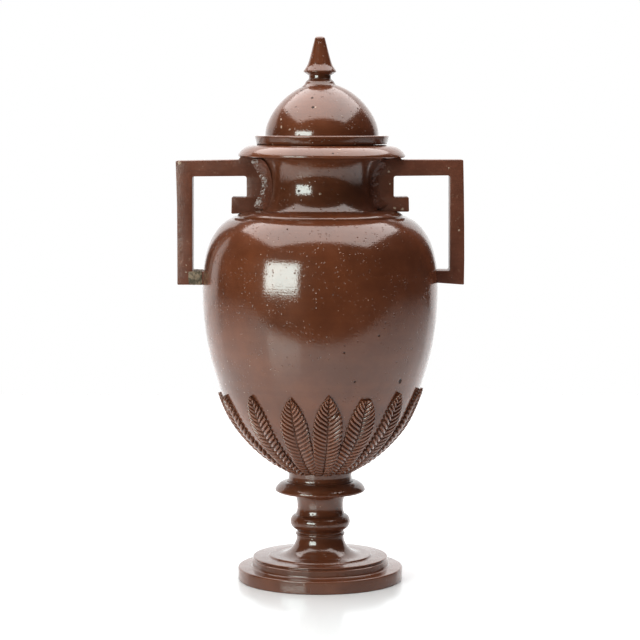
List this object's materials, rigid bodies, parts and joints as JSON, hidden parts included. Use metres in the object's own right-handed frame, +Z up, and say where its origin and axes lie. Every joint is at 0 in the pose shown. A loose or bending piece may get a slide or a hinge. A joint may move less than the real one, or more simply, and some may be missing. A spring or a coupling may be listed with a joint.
{
  "type": "mantel urn",
  "caption": "Covered mantel urn in dark glazed stoneware, with squared side handles, a band of applied leaves, a stepped round foot and a domed lid with a pointed finial.",
  "frame": {"origin": "middle of the foot's underside, on the floor", "axes": "+Z up through the finial, X along the two handles, -Y towards the front"},
  "size_m": [0.221, 0.1814, 0.42],
  "materials": {
    "urn_glaze": "glossy dark red-brown glaze, worn and gritty at the handles",
    "lid_glaze": "glossy dark red-brown glaze with small pits"
  },
  "bodies": {
    "root": {"urn": "urn_glaze", "lid": "lid_glaze"}
  },
  "joints": []
}
